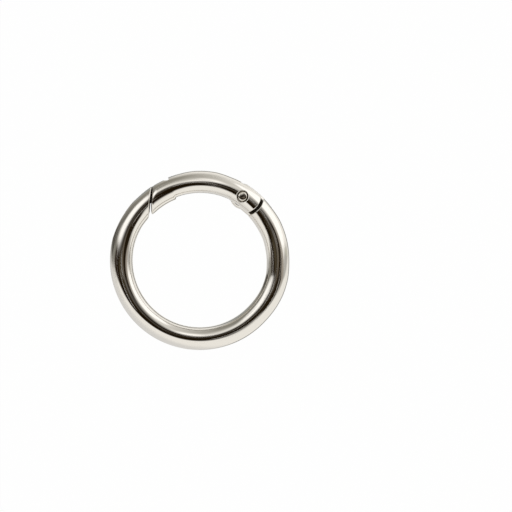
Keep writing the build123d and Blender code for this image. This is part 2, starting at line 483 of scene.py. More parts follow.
# Nickel on buffed zinc: a warm mirror with fine lengthwise hairlines; inside the slots it is rough, and its
# dark colour there is painted shade.
plate = metal_finish("bright_nickel_plate", "#EAE5DC", 0.05, 0.0014 * mm, hairline=0.33, rough_casting_shade_colour="#4A443B")
# Nickel on a steel rivet that was pressed and never buffed: softer, no streaks, and a little darker, which is
# painted shade.
plate_on_steel = metal_finish("nickel_plated_rivet_steel", "#DAD4C8", 0.07, 0.0)
# Steel wire drawn through a die and left bare: grey, and satin where the others are mirrors.
drawn_wire = metal_finish("drawn_spring_wire", "#B8B4AA", 0.22, 0.0)
print("finishes:", plate.name, plate_on_steel.name, drawn_wire.name)

# %% [markdown]
# ## A bar with rounded ends
#
# The body and the gate are both a piece of round wire. Each starts as a straight bar with rounded
# rims, drawn as a lathe would turn it: a list of stations, each a distance along the bar and a
# radius, spun round the X axis. The rims matter more than anything else on a mirror finish,
# because a sharp edge shows no highlight and looks like paper.


# %% Turning a solid from its stations
def spun(stations, sides):
    """Points and faces of a closed solid about the X axis; both ends close in a point."""
    turns = [2 * pi * j / sides for j in range(sides)]
    points = [(stations[0][0], 0, 0)]
    for along, radius in stations:
        points += [(along, radius * cos(turn), radius * sin(turn)) for turn in turns]
    points.append((stations[-1][0], 0, 0))
    faces = []
    for j in range(sides):
        k = (j + 1) % sides
        faces.append((0, 1 + k, 1 + j))
        for i in range(len(stations) - 1):
            low, high = 1 + i * sides, 1 + (i + 1) * sides
            faces.append((low + j, low + k, high + k, high + j))
        faces.append((len(points) - 1, len(points) - 1 - sides + j, len(points) - 1 - sides + k))
    return points, faces


def rounded_end(radius, rim, face_rows=8, rim_rows=6):
    """Stations from the middle of an end face out to the full radius."""
    flat = [(0, (radius - rim) * k / face_rows) for k in range(1, face_rows + 1)]
    quarter = [pi / 2 * k / rim_rows for k in range(1, rim_rows + 1)]
    return flat + [(rim - rim * cos(a), radius - rim + rim * sin(a)) for a in quarter]


def turned_bar(length, radius, start_rim, end_rim, rows):
    """Stations of a straight bar from 0 to its length."""
    first = rounded_end(radius, start_rim)
    last = [(length - along, r) for along, r in reversed(rounded_end(radius, end_rim))]
    plain = length - start_rim - end_rim
    return first + [(start_rim + plain * k / rows, radius) for k in range(1, rows)] + last


def new_object(name, points, faces):
    """Smooth mesh object in the scene."""
    mesh = bpy.data.meshes.new(name)
    mesh.from_pydata(points, [], faces)
    mesh.shade_smooth()
    return placed(name, mesh)


print("an end has", len(rounded_end(wire_radius, 0.4 * mm)), "stations from its middle to the wire's side")

# %% [markdown]
# ## Bending the bar round the ring
#
# The bar's two ends aren't square once it is a ring. At the hinge they are arcs about a point by
# the rivet, so that the gate can swing; at the latch they are flat and lean. Both are one rule,
# which Geometry Nodes can hold: an end is an arc of some reach about some centre, and a flat end
# is an arc whose centre is very far away. A point that is a share t of the way along the bar, and
# y towards its side, goes to the ring radius R - y. At that radius the law of cosines gives the
# ring angle where each end lies, and the point goes the share t of the way from one to the other.
# The same tree bends the body, the long way round, and the gate.

# %% The bending tree
end_inputs = ("Centre Distance", "Centre Angle", "Reach", "Side")
bend_inputs = ["Length", "Ring Radius", "Lap"]
bend_inputs += [f"{end} {name}" for end in ("Start", "End") for name in end_inputs]


def shape_tree(name, sizes):
    """New Geometry Nodes with a geometry, sizes and a material as inputs, and the sockets of those."""
    tree = bpy.data.node_groups.new(name, "GeometryNodeTree")
    tree.interface.new_socket("Geometry", in_out="INPUT", socket_type="NodeSocketGeometry")
    for size in sizes:
        tree.interface.new_socket(size, in_out="INPUT", socket_type="NodeSocketFloat")
    tree.interface.new_socket("Material", in_out="INPUT", socket_type="NodeSocketMaterial")
    tree.interface.new_socket("Geometry", in_out="OUTPUT", socket_type="NodeSocketGeometry")
    return tree, add_node(tree, "NodeGroupInput").outputs


def finished(tree, shape, given):
    """Ends a tree with real geometry that carries its material."""
    real = add_node(tree, "GeometryNodeRealizeInstances", {"Geometry": shape})
    coated = add_node(tree, "GeometryNodeSetMaterial", {"Geometry": real, "Material": given["Material"]})
    add_node(tree, "NodeGroupOutput", {"Geometry": coated})
    return tree


def bending_tree():
    """Geometry Nodes that bend a straight bar round the ring, between two arcs."""
    tree, given = shape_tree("bend_round_the_ring", bend_inputs)
    place = add_node(tree, "GeometryNodeInputPosition")
    bar = add_node(tree, "ShaderNodeSeparateXYZ", {0: place}).outputs
    radius = add_node(tree, "ShaderNodeMath", {0: given["Ring Radius"], 1: bar["Y"]}, operation="SUBTRACT")
    radius_squared = add_node(tree, "ShaderNodeMath", {0: radius, 1: 2}, operation="POWER")
    ends = []
    for end in ("Start", "End"):
        away, end_reach = given[f"{end} Centre Distance"], given[f"{end} Reach"]
        away_squared = add_node(tree, "ShaderNodeMath", {0: away, 1: 2}, operation="POWER")
        reach_squared = add_node(tree, "ShaderNodeMath", {0: end_reach, 1: 2}, operation="POWER")
        two_sides = add_node(tree, "ShaderNodeMath", {0: radius_squared, 1: away_squared}, operation="ADD")
        over = add_node(tree, "ShaderNodeMath", {0: two_sides, 1: reach_squared}, operation="SUBTRACT")
        product = add_node(tree, "ShaderNodeMath", {0: radius, 1: away}, operation="MULTIPLY")
        twice = add_node(tree, "ShaderNodeMath", {0: product, 1: 2}, operation="MULTIPLY")
        cosine = add_node(tree, "ShaderNodeMath", {0: over, 1: twice}, operation="DIVIDE")
        aside = add_node(tree, "ShaderNodeMath", {0: cosine}, operation="ARCCOSINE")
        ends.append(add_node(tree, "ShaderNodeMath", {
            0: aside,
            1: given[f"{end} Side"],
            2: given[f"{end} Centre Angle"],
        }, operation="MULTIPLY_ADD"))
    share = add_node(tree, "ShaderNodeMath", {0: bar["X"], 1: given["Length"]}, operation="DIVIDE")
    lapped = add_node(tree, "ShaderNodeMath", {0: ends[1], 1: given["Lap"]}, operation="ADD")
    sweep = add_node(tree, "ShaderNodeMath", {0: lapped, 1: ends[0]}, operation="SUBTRACT")
    angle = add_node(tree, "ShaderNodeMath", {0: share, 1: sweep, 2: ends[0]}, operation="MULTIPLY_ADD")
    cosine = add_node(tree, "ShaderNodeMath", {0: angle}, operation="COSINE")
    sine = add_node(tree, "ShaderNodeMath", {0: angle}, operation="SINE")
    bent = add_node(tree, "ShaderNodeCombineXYZ", {
        "X": add_node(tree, "ShaderNodeMath", {0: radius, 1: cosine}, operation="MULTIPLY"),
        "Y": add_node(tree, "ShaderNodeMath", {0: radius, 1: sine}, operation="MULTIPLY"),
        "Z": bar["Z"],
    })
    moved = add_node(tree, "GeometryNodeSetPosition", {"Geometry": given["Geometry"], "Position": bent})
    return finished(tree, moved, given)


def with_nodes(target, tree, **values):
    """Puts the tree on an object as a modifier; names use _ where the inputs have a space."""
    modifier = target.modifiers.new(tree.name, "NODES")
    modifier.node_group = tree
    for item in tree.interface.items_tree:
        name = item.name.replace(" ", "_").lower()
        if item.in_out == "INPUT" and name in values:
            modifier[item.identifier] = values[name]


def baked(source, name):
    """Plain mesh object of what an object's modifiers make of it; the source is removed."""
    ready = source.evaluated_get(bpy.context.evaluated_depsgraph_get())
    mesh = bpy.data.meshes.new_from_object(ready)
    mesh.name = name
    bpy.data.objects.remove(source)
    return placed(name, mesh)


bend = bending_tree()
print("bending tree:", len(bend.nodes), "nodes")

# %% [markdown]
# ## Where the ends lie
#
# Two seams part the gate from the body. At the hinge, heel and shoulder are arcs about one point
# a little outside the rivet, so they stay clear of each other as the gate swings. At the latch,
# the gate's nose and the body's end face are flat, and lean so that the nose can swing inwards
# without catching. Straight cuts at both places would be simpler, but the hinge would jam.

# %% Where the ends lie
hinge_centre = Vector((hinge_x, hinge_y))
ring_centre = Vector((0, 0))
seam_offset = 0.30 * mm
heel_reach = 3.34 * mm
shoulder_reach = heel_reach + 0.52 * mm
nose_angle = radians(127.4)
nose_gap = 0.40 * mm
end_face_angle = nose_angle + nose_gap / ring_radius
nose_lean = radians(4.2)
end_face_lean = radians(6.8)
very_far = 300 * mm


def at(ring_angle, outward, along=0.0):
    """The point that lies outwards, and then anticlockwise, in a frame turned to a ring angle."""
    out = Vector((cos(ring_angle), sin(ring_angle)))
    return outward * out + along * Vector((-out.y, out.x))


def reach(radius, ring_angle):
    """Distance from the hinge to the point at a ring radius and a ring angle."""
    return (at(ring_angle, radius) - hinge_centre).length


def about(centre, distance, side, radius=ring_radius):
    """Ring angle, on one side of a centre, of the point at a ring radius and a distance from it."""
    away = centre.length
    return atan2(centre.y, centre.x) + side * acos((away**2 + radius**2 - distance**2) / (2 * away * radius))


def flat_end(ring_angle, lean):
    """A very far centre, and the distance to it, of a face that leans from square to the hinge."""
    middle = at(ring_angle, ring_radius)
    direction = atan2(*(middle - hinge_centre).yx) - lean
    return middle - at(direction, very_far), very_far


seam_centre = hinge_centre + at(hinge_angle, seam_offset)
nose_reach = reach(ring_radius, nose_angle)
print(f"nose {1000 * nose_reach:.2f} mm from the hinge, seams {1000 * (shoulder_reach - heel_reach):.2f}",
      f"and {1000 * nose_gap:.2f} mm wide")

# %% [markdown]
# ## A bent piece of wire
#
# Bar, tree and ends now come together in one function, because the body and the gate differ only
# in their ends and in the way round. The lap is a whole turn for the body, because its wire goes
# on past the place where ring angles start again, and nothing for the gate. Rows of faces 0.3 mm
# long and 96 sides keep the mirror smooth.

# %% A piece of wire between two ends
wire_sides = 96
row_length = 0.3 * mm


def bent_wire(name, start, end, rims, lap):
    """A piece of wire between two ends, each given as (centre, reach, side)."""
    length = (about(*end) + lap - about(*start)) * ring_radius
    rows = round(length / row_length)
    straight = new_object(name, *spun(turned_bar(length, wire_radius, *rims, rows), wire_sides))
    values = {}
    for which, (centre, distance, side) in (("start", start), ("end", end)):
        values[f"{which}_centre_distance"] = centre.length
        values[f"{which}_centre_angle"] = atan2(centre.y, centre.x)
        values[f"{which}_reach"] = distance
        values[f"{which}_side"] = float(side)
    values.update(length=length, ring_radius=ring_radius, lap=float(lap), material=plate)
    with_nodes(straight, bend, **values)
    print(f"{name}: {1000 * length:.1f} mm of wire in {rows} rows")
    return baked(straight, name)


# %% [markdown]
# ## Flat plates that stand out of the ends
#
# Out of each end of the body stands a flat plate, cast with it: the knuckle that the gate's fork
# straddles, and the tongue that stops the closed gate. A filled 2D curve with an extrusion and a
# round bevel gives exactly such a plate, with a soft rim all round.


# %% Rounded plates
def arc(centre, first, last, clockwise=False, steps=24):
    """Points on an arc about a centre, from one point on it to another."""
    start = atan2(*(first - centre).yx)
    sweep = (atan2(*(last - centre).yx) - start) % (2 * pi)
    if clockwise:
        sweep -= 2 * pi
    radius = (first - centre).length
    return [centre + at(start + sweep * k / steps, radius) for k in range(steps + 1)]


def rounded_plate(name, outline, thickness, rim):
    """Plate in the ring's middle plane, with a round rim all round."""
    curve = bpy.data.curves.new(name, "CURVE")
    curve.dimensions = "2D"
    curve.fill_mode = "BOTH"
    curve.extrude = thickness / 2 - rim
    curve.bevel_depth = rim
    curve.bevel_resolution = 6
    curve.offset = -rim
    spline = curve.splines.new("POLY")
    spline.points.add(len(outline) - 1)
    spline.use_cyclic_u = True
    for point, (x, y) in zip(spline.points, outline):
        point.co = (x, y, 0, 1)
    return baked(placed(name, curve), name)


def kept_below(plate_piece, sink):
    """Pulls what stands out of the wire's outer side back to a torus that far below its surface."""
    limit = wire_radius - sink
    for vertex in plate_piece.data.vertices:
        around = vertex.co.xy.length
        allowed = ring_radius + sqrt(limit**2 - vertex.co.z**2)
        if around > allowed:
            vertex.co.xy *= allowed / around


print("a half turn as an arc:", len(arc(ring_centre, at(0, 1), at(pi, 1))), "points")

# %% [markdown]
# ## Cutting tools
#
# Holes, slots and channels are taken out of a casting by exact booleans. Each tool is a closed
# solid of its own, made a little longer than the cut, so that no two faces lie in one plane, and
# it is gone once it has cut.


# %% A flat tool, and the cut
def tool(name, points, faces):
    """Closed cutting solid with its faces turned outwards."""
    shell = bmesh.new()
    corners = [shell.verts.new(point) for point in points]
    for face in faces:
        shell.faces.new([corners[i] for i in face])
    bmesh.ops.recalc_face_normals(shell, faces=shell.faces)
    mesh = bpy.data.meshes.new(name)
    shell.to_mesh(mesh)
    shell.free()
    return placed(name, mesh)


def prism(name, outline, low, high):
    """Tool with an outline in the ring's plane, between two heights."""
    n = len(outline)
    points = [(x, y, z) for z in (low, high) for x, y in outline]
    walls = [(i, (i + 1) % n, n + (i + 1) % n, n + i) for i in range(n)]
    return tool(name, points, walls + [tuple(range(n)), tuple(range(n, 2 * n))])


def cut(piece, *tools):
    """The piece with each tool's solid taken out of it."""
    for cutter in tools:
        taken = piece.modifiers.new(cutter.name, "BOOLEAN")
        taken.solver = "EXACT"
        taken.object = cutter
    print(f"{piece.name}: cut by", ", ".join(cutter.name for cutter in tools))
    piece = baked(piece, piece.name)
    for cutter in tools:
        bpy.data.objects.remove(cutter)
    return piece


# %% [markdown]
# ## Exact shine
#
# A mirror shows the slightest tilt of a surface. The wire's skin is part of a torus, so its true
# direction at every point is known: straight away from the middle of the wire. Every face corner
# on the skin gets exactly that normal, also beside a cut, where averaging the faces would bend the
# reflections.

# %% Normals of the round wire
sharp_edge = radians(32)           # a fold steeper than this is an edge
skin_tilt = radians(20)            # a face of the skin tilts less than this from the torus
skin_tolerance = 0.0005 * mm       # a corner of the skin lies this near the torus


def true_normals(piece):
    """Keeps sharp edges sharp, and gives corners on the wire's skin the normal of a perfect torus."""
    mesh = piece.data
    mesh.shade_smooth()
    mesh.set_sharp_from_angle(angle=sharp_edge)
    points = np.empty(3 * len(mesh.vertices))
    mesh.vertices.foreach_get("co", points)
    points = points.reshape(-1, 3)
    around = np.hypot(points[:, 0], points[:, 1])
    share = (around - ring_radius) / around
    away = np.column_stack((points[:, 0] * share, points[:, 1] * share, points[:, 2]))
    distance = np.linalg.norm(away, axis=1)
    away /= distance[:, None]
    corners = np.empty(len(mesh.loops), int)
    mesh.loops.foreach_get("vertex_index", corners)
    normals = np.empty(3 * len(mesh.loops))
    mesh.corner_normals.foreach_get("vector", normals)
    normals = normals.reshape(-1, 3)
    faces = np.array([face.normal for face in mesh.polygons])
    of_corner = np.repeat(faces, [face.loop_total for face in mesh.polygons], axis=0)
    on_skin = abs(distance[corners] - wire_radius) < skin_tolerance
    along_skin = (of_corner * away[corners]).sum(axis=1) > cos(skin_tilt)
    exact = on_skin & along_skin
    normals[exact] = away[corners][exact]
    mesh.normals_split_custom_set(normals)
    return int(exact.sum())


# %% [markdown]
# ## Hand-finished ends
#
# A casting isn't a perfect circle. Its ends are dressed by hand before plating, so near them the
# silhouette lies a tenth or two of a millimetre further in, and the long open wire springs out a
# little as it cools. Short tables of ring angles and millimetres say how far. Dressing takes the
# outer side or the side that faces the eye, and fades to nothing at the middle of the wire, so
# that the reflections on top don't shift. Both are done after the exact normals are set, which
# keeps the mirror smooth.


# %% Dressing a silhouette by a table
def dressed(piece, outer, inner):
    """Moves the outer and the inner side of the wire inwards; tables of (ring angle in degrees, mm)."""
    for vertex in piece.data.vertices:
        x, y, _ = vertex.co
        around = hypot(x, y)
        outward = (around - ring_radius) / wire_radius
        table = outer if outward > 0 else inner
        angles, depths = zip(*table)
        sunk = float(np.interp(degrees(atan2(y, x)) % 360, angles, depths)) * mm
        scale = 1 - sunk * min(1, outward**2) / around
        vertex.co.xy = (x * scale, y * scale)


def sprung(piece, table):
    """Moves the whole wire outwards by a table of (ring angle in degrees, mm)."""
    angles, moves = zip(*table)
    for vertex in piece.data.vertices:
        x, y, _ = vertex.co
        out = float(np.interp(degrees(atan2(y, x)) % 360, angles, moves)) * mm
        scale = 1 + out / hypot(x, y)
        vertex.co.xy = (x * scale, y * scale)


# %% [markdown]
# ## The ring body
#
# The body is one casting: three quarters of the ring, a knuckle at the hinge and a tongue at the
# latch. The wire comes first. Its rim is rounder at the latch, which hands and straps touch, than
# in the narrow seam at the hinge.

# %% The body's wire
latch_rim, shoulder_rim = 0.42 * mm, 0.16 * mm
end_face = (*flat_end(end_face_angle, end_face_lean), 1)
shoulder = (seam_centre, shoulder_reach, -1)
body = bent_wire("ring_body_polished", end_face, shoulder, (latch_rim, shoulder_rim), 2 * pi)

# %% [markdown]
# ## The hinge knuckle
#
# The knuckle is a disc about the rivet, on a neck that grows out of the hollow shoulder. It has a
# flat for the spring to bear on, and stands a little into the eye. A cylinder and a block could
# be joined for it, but one outline of arcs, made a plate with a soft rim, has no joints to hide.
# Its crest stays inside the round wire, and the rivet's bore goes through it.

# %% Hinge knuckle
knuckle_radius = 2.40 * mm
knuckle_thickness = 1.44 * mm
knuckle_rim = 0.68 * mm
knuckle_sink = 0.10 * mm                           # how far its crest stays under the wire's skin
knuckle_flat = hinge_angle + radians(6)            # the ring angle along which the flat lies
neck_angle = hinge_angle - radians(6)
neck_line = ring_radius - wire_radius - 0.28 * mm  # from the ring's axis to the neck's inner side
neck_end = -(shoulder_reach + 1.0 * mm)            # how far the neck goes into the shoulder
neck_crest = outer_radius - 0.08 * mm
neck_root = radians(34)
crest_start = hinge_angle - radians(0.5)
bore_radius, bore_sides = 0.79 * mm, 48


def knuckle_outline():
    """Round the knuckle's disc, with its flat, and back along the neck."""
    middle = hinge_distance * cos(neck_angle - hinge_angle)
    aside = -hinge_distance * sin(neck_angle - hinge_angle)
    meets_neck = at(neck_angle, neck_line, aside - sqrt(knuckle_radius**2 - (middle - neck_line) ** 2))
    chord = hinge_distance * sin(knuckle_flat - hinge_angle)
    foot = hinge_distance * cos(knuckle_flat - hinge_angle)
    half_flat = sqrt(knuckle_radius**2 - chord**2)
    inner, outer = at(knuckle_flat, foot - half_flat), at(knuckle_flat, foot + half_flat)
    tip = at(hinge_angle, hinge_distance + knuckle_radius)
    outline = (
        [at(neck_angle, neck_line, neck_end)]
        + arc(hinge_centre, meets_neck, inner, clockwise=True)
        + arc(hinge_centre, outer, tip, clockwise=True, steps=8)
        + arc(ring_centre, at(crest_start, neck_crest), at(neck_root, neck_crest), clockwise=True)
    )
    return [point * min(1, neck_crest / point.length) for point in outline]


knuckle = rounded_plate("knuckle", knuckle_outline(), knuckle_thickness, knuckle_rim)
kept_below(knuckle, knuckle_sink)
bore_edge = [hinge_centre + at(2 * pi * k / bore_sides, bore_radius) for k in range(bore_sides)]
knuckle = cut(knuckle, prism("rivet_bore", bore_edge, -wire_radius, wire_radius))
print("knuckle:", len(knuckle.data.polygons), "faces")

# %% [markdown]
# ## The latch tongue
#
# The tongue is what stops the gate: a curved plate that fills the slot in the gate's nose. Its
# tip is an arc about the hinge, as the slot's end wall is, so the two meet evenly when the gate
# shuts. Its root starts well inside the body's wire, so that no gap shows under it.

# %% Latch tongue
slot_wall_reach = reach(outer_radius, radians(110.5))
slot_floor = outer_radius - 2.85 * mm
tongue_thickness = 1.70 * mm
tongue_rim = 0.15 * mm
tongue_sink = 0.30 * mm                            # how far it stays under the wire's skin
tongue_clearance = 0.10 * mm                       # above the slot's floor
tip_gap = 0.06 * mm                                # between the tip and the slot's end wall
tip_corner = 0.75 * mm                             # from the wire's outer side to the tip's corner
tip_slope_ends = radians(115.2)
root_depth = 1.5 * mm                              # how far the root goes into the body's wire


def tongue_outline():
    """Under the tongue, round its tip, and back along its rim."""
    under, tip = slot_floor + tongue_clearance, slot_wall_reach + tip_gap
    root = end_face_angle + root_depth / ring_radius
    corners = (under, outer_radius - tip_corner)
    low, high = (at(about(hinge_centre, tip, 1, radius), radius) for radius in corners)
    return (
        arc(ring_centre, at(root, under), low, clockwise=True)
        + arc(hinge_centre, low, high, clockwise=True, steps=8)[1:]
        + arc(ring_centre, at(tip_slope_ends, outer_radius), at(root, outer_radius))
    )


tongue = rounded_plate("tongue", tongue_outline(), tongue_thickness, tongue_rim)
kept_below(tongue, tongue_sink)
print("tongue:", len(tongue.data.polygons), "faces")

# %% [markdown]
# ## One casting
#
# A boolean union of wire, knuckle and tongue would put odd small faces where they meet, right
# beside the mirror finish. They meet out of sight, in the slots, so they are put in one mesh and
# each keeps its own closed surface.


# %% The body in one piece
def joined(name, first, *others):
    """One object of several, which keep their own closed surfaces."""
    shell = bmesh.new()
    for part in (first, *others):
        shell.from_mesh(part.data)
    mesh = first.data
    shell.to_mesh(mesh)
    shell.free()
    for part in others:
        bpy.data.objects.remove(part)
    first.name = mesh.name = name
    return first


casting_bulge = [(318, 0), (336, 0.14), (348, 0.14), (356, 0.02), (359, 0)]
body_outer = [(27, 0), (36, 0.12), (60, 0.12), (100, 0.30), (134, 0.30), (139, 0.20), (149, 0.19), (166, 0)]
body_inner = [(0, 0), (8, 0.06), (18, 0.10), (31, 0.24), (60, 0.24)]
body_inner += [(100, 0.12), (144, 0.12), (150, 0.05), (164, 0)]

exact_corners = true_normals(body)
sprung(body, casting_bulge)
dressed(body, outer=body_outer, inner=body_inner)
true_normals(knuckle)
true_normals(tongue)
body = joined("ring_body_polished", body, knuckle, tongue)
body.data.materials.clear()
body.data.materials.append(plate)
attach(body, "ring")
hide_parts("ring_body")
print("ring body:", len(body.data.polygons), "faces,", exact_corners, "corners with exact normals")

# %% [markdown]
# ## The gate's cuts: the fork's slot
#
# The gate is a quarter of the same wire, with five things taken out of it: the fork's slot for
# the knuckle, the latch slot and a small relief in its nose, the channel for the spring, and a
# round pocket over each end of the rivet. All the tools are made first, and cut together. The
# fork's slot ends in an arc about the rivet, so that the knuckle can turn in it.

# %% Fork slot
fork_slot_width = 1.74 * mm
fork_root = 2.80 * mm            # from the rivet's axis
beyond = 6 * mm                  # well outside the wire
fork_ahead = hinge_centre + at(hinge_angle, fork_root)
fork_behind = hinge_centre - at(hinge_angle, fork_root)
fork_outline = arc(hinge_centre, fork_ahead, fork_behind, steps=48) + [
    hinge_centre + at(hinge_angle, -beyond),
    hinge_centre + at(hinge_angle, -beyond, -beyond),
    hinge_centre + at(hinge_angle, beyond, -beyond),
    hinge_centre + at(hinge_angle, beyond),
]
fork_slot = prism("fork_slot", fork_outline, -fork_slot_width / 2, fork_slot_width / 2)
print(f"fork slot {1000 * fork_slot_width:.2f} mm wide for a knuckle of {1000 * knuckle_thickness:.2f} mm")

# %% [markdown]
# ## The gate's cuts: latch slot and relief
#
# The latch slot is open at the nose and on the gate's outer side, so the tongue slides in as the
# gate comes home. Where the slot ends, a file has taken a small ramped notch out of the outer
# side. That is cut by a prism too, through the wire's whole thickness.

# %% Latch slot and relief
latch_slot_width = 1.90 * mm
past_nose, before_nose = nose_angle + radians(8), nose_angle - radians(8)
wall_top_radius, outside = 17.5 * mm, 20 * mm      # both outside the ring
wall_foot = at(about(hinge_centre, slot_wall_reach, 1, slot_floor), slot_floor)
wall_top = at(about(hinge_centre, slot_wall_reach, 1, wall_top_radius), wall_top_radius)
latch_outline = (
    arc(ring_centre, at(past_nose, slot_floor), wall_foot, clockwise=True)
    + arc(hinge_centre, wall_foot, wall_top, clockwise=True)[1:]
    + [at(before_nose, outside), at(past_nose, outside)]
)
latch_slot = prism("latch_slot", latch_outline, -latch_slot_width / 2, latch_slot_width / 2)

# Ring angle in degrees, and mm out from the ring's outer side.
relief_corners = [(110.7, 0.9), (110.7, -0.50), (111.3, -0.57), (112.1, -0.54), (115.0, -0.14), (115.0, 0.9)]
relief_edge = [at(radians(ring_angle), outer_radius + out * mm) for ring_angle, out in relief_corners]
relief = prism("relief", relief_edge, -2 * wire_radius, 2 * wire_radius)
print(f"latch slot {1000 * latch_slot_width:.2f} mm wide for a tongue of {1000 * tongue_thickness:.2f} mm")

# %% [markdown]
# ## The gate's cuts: the spring's channel
#
# The spring lies in a channel along the gate's inner side. Its mouth is a little narrower than
# its bore, so the coil is pressed in and can't fall out. A straight drill can't make it, and the
# real one is cast. The tool is a keyhole profile, swept about the ring's axis.


# %% Spring channel
def revolved(name, profile, first, last, steps):
    """Tool with a profile of (radius, height), swept about the ring's axis between two ring angles."""
    n = len(profile)
    points = []
    for k in range(steps + 1):
        turn = first + (last - first) * k / steps
        points += [(r * cos(turn), r * sin(turn), z) for r, z in profile]
    walls = [(n * k + i, n * k + (i + 1) % n, n * (k + 1) + (i + 1) % n, n * (k + 1) + i)
             for k in range(steps) for i in range(n)]
    return tool(name, points, walls + [tuple(range(n)), tuple(range(n * steps, n * steps + n))])


channel_radius = ring_radius - 1.0 * mm
channel_bore = 0.95 * mm
channel_mouth = 0.88 * mm
channel_end = radians(110.5)
inside_eye = 12 * mm
bore_steps = 40
lip = pi - asin(channel_mouth / channel_bore)
keyhole = [(inside_eye, channel_mouth)]
for k in range(bore_steps + 1):
    turn = lip - 2 * lip * k / bore_steps
    keyhole.append((channel_radius + channel_bore * cos(turn), channel_bore * sin(turn)))
keyhole.append((inside_eye, -channel_mouth))
spring_channel = revolved("spring_channel", keyhole, hinge_angle, channel_end, steps=60)
print(f"channel: bore {2000 * channel_bore:.2f} mm, mouth {2000 * channel_mouth:.2f} mm")

# %% [markdown]
# ## The gate's cuts: the rivet's pockets
#
# Each end of the rivet sits in a round pocket. A plain round hole in round wire would leave a
# sharp saddle-shaped edge, which a mirror shows as a hard line. The real edge is rolled over. So
# the tool's wall flares out at the top, following the wire's skin all the way round.

# %% Rivet pockets
crest = sqrt(wire_radius**2 - (ring_radius - hinge_distance) ** 2)      # the skin's height over the rivet
recess_floor = crest - 0.62 * mm
recess_radius = 1.06 * mm
recess_lip = 0.18 * mm
pocket_sides, lip_rows = 72, 6


def recess(side):
    """Round pocket over an end of the rivet, whose edge rolls over into the round wire."""
    profile = [(recess_radius, None)]
    for k in range(lip_rows):
        a = pi / 2 * k / lip_rows
        profile.append((recess_radius + recess_lip * (1 - cos(a)), recess_lip * (1 - sin(a))))
    points = []
    for step in range(pocket_sides):
        out = at(2 * pi * step / pocket_sides, 1.0)
        for radius, below in profile:
            x, y = hinge_centre + radius * out
            skin = sqrt(wire_radius**2 - (hypot(x, y) - ring_radius) ** 2)
            points.append((x, y, side * (recess_floor if below is None else skin - below)))
        x, y = hinge_centre + (recess_radius + 1.2 * recess_lip) * out
        points.append((x, y, side * 2 * wire_radius))
    n = len(profile) + 1
    rows = range(pocket_sides)
    walls = []
    for i in rows:
        after = (i + 1) % pocket_sides
        walls += [(n * i + k, n * after + k, n * after + k + 1, n * i + k + 1) for k in range(n - 1)]
    floor, top = tuple(n * i for i in rows), tuple(n * i + n - 1 for i in rows)
    return tool("recess", points, walls + [floor, top])


recesses = [recess(side) for side in (1, -1)]
print(f"pockets: {2000 * recess_radius:.2f} mm across, floor {1000 * (crest - recess_floor):.2f} mm down")

# %% [markdown]
# ## The gate's wire and nose
#
# The nose takes the knocks and most of the hand work: a shallow flat filed along its upper side,
# a tip that is eased down, and a moulding draft, by which an end face of a casting swells towards
# the line where the two halves of the mould met. Sculpting could give the same, but not twice the
# same. So each is one small rule that moves the corners of the mesh, before the cuts are made.


# %% The gate's wire and nose
def filed_flat(piece, middle, half_width, first, full, depth):
    """Sinks the wire's upper side by a shallow, smooth flat that grows between two ring angles."""
    for vertex in piece.data.vertices:
        x, y, z = vertex.co
        outward = hypot(x, y) - ring_radius
        across = (asin(max(-1, min(1, outward / wire_radius))) - middle) / half_width
        grown = min(1, max(0, (atan2(y, x) - first) / (full - first)))
        if abs(across) < 1:
            sunk = depth * grown * grown * (3 - 2 * grown) * (1 - across**2) ** 2
            scale = 1 - sunk / max(hypot(outward, z), 0.5 * wire_radius)
            around = (ring_radius + outward * scale) / (ring_radius + outward)
            vertex.co = (x * around, y * around, z * scale)


def eased_tip(piece, end, width, depth, from_inside, over):
    """Rolls the upper and lower side down towards an end, most on the wire's outer half."""
    centre, distance, _ = end
    for vertex in piece.data.vertices:
        left = distance - (vertex.co.xy - centre).length
        outer_half = min(1, max(0, (vertex.co.xy.length - ring_radius + from_inside) / over))
        if left < width:
            vertex.co.z *= 1 - depth * outer_half * (1 - left / width) ** 2 / wire_radius


def drafted(piece, end, width, depth):
    """Lets an end face swell towards the middle plane, where the two halves of the mould met."""
    centre, distance, _ = end
    for vertex in piece.data.vertices:
        away = vertex.co.xy - centre
        near = 1 - (distance - away.length) / width
        if near > 0:
            swell = depth * min(1, near) * (1 - abs(vertex.co.z) / wire_radius)
            vertex.co.xy += away.normalized() * swell


heel_rim, nose_rim = 0.18 * mm, 0.38 * mm
heel = (seam_centre, heel_reach, -1)
nose = (*flat_end(nose_angle, nose_lean), 1)
gate = bent_wire("gate_polished", heel, nose, (heel_rim, nose_rim), 0)
filed_flat(gate, middle=radians(-9), half_width=radians(26),
           first=radians(92), full=radians(118), depth=0.045 * mm)
eased_tip(gate, nose, width=0.85 * mm, depth=0.26 * mm, from_inside=0.6 * mm, over=1.6 * mm)
drafted(gate, nose, width=0.60 * mm, depth=0.15 * mm)

# %% [markdown]
# ## The gate, cut and closed
#
# All the tools cut at once, then the gate gets its exact normals and is dressed as the body was.
# Last, it is turned about the hinge until its nose lies a tenth of a millimetre towards the eye:
# a real gate stops where it meets the tongue, and that is a little low.

# %% Gate
gate_outer = [(60, 0.15), (70, 0.15), (79, 0), (94, 0), (103, 0.10), (110, 0.12), (112, 0.14), (140, 0.14)]
gate_inner = [(40, 0.15), (62, 0.15), (64, 0), (110.3, 0), (111.3, 0.24), (140, 0.24)]
droop = 0.10 * mm / nose_reach

